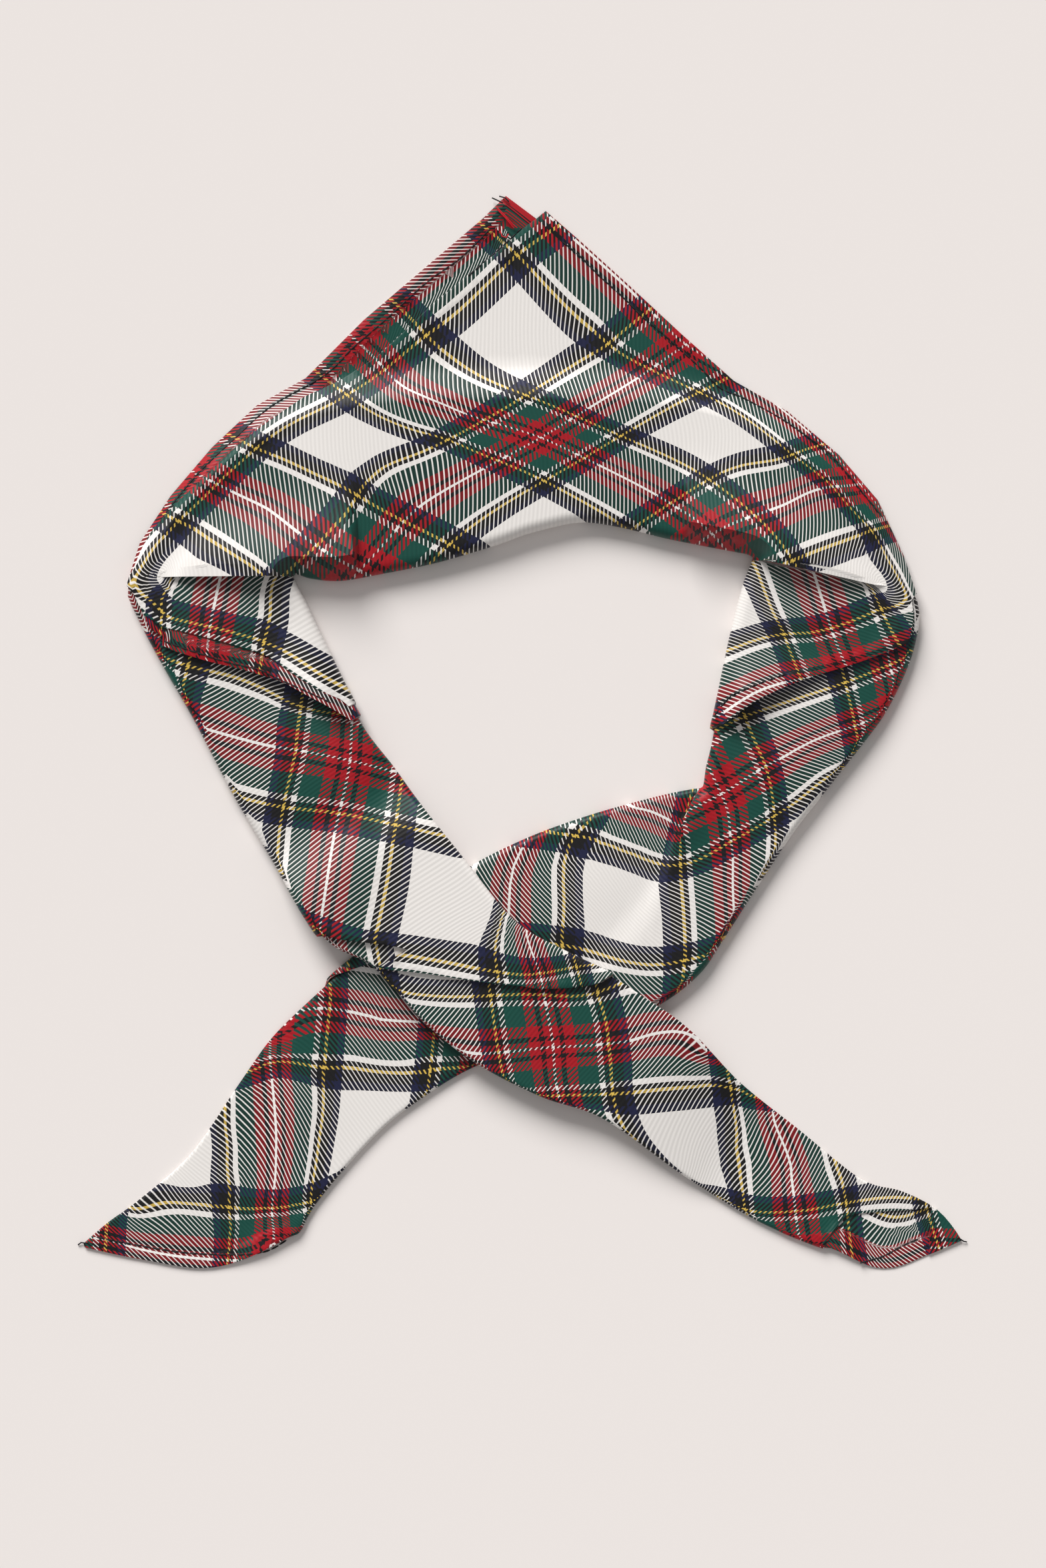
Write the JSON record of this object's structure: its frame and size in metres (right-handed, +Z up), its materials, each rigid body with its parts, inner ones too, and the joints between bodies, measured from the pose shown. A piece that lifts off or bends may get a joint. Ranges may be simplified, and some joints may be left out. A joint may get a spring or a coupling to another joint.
{
  "type": "folded silk scarf",
  "caption": "Square silk scarf rolled into a flat band and laid as a collar, with an apex triangle at the back and two crossed tails in front.",
  "frame": {"origin": "centre of the scarf's outline, on the surface that it lies on", "axes": "+Z up from the surface, +Y from the tails towards the apex of the triangle, +X to the right seen from above"},
  "size_m": [0.2814, 0.3438, 0.0108],
  "materials": {
    "silk": "fine twill silk with a soft sheen, woven check"
  },
  "bodies": {
    "root": {"scarf": "silk"}
  },
  "joints": []
}
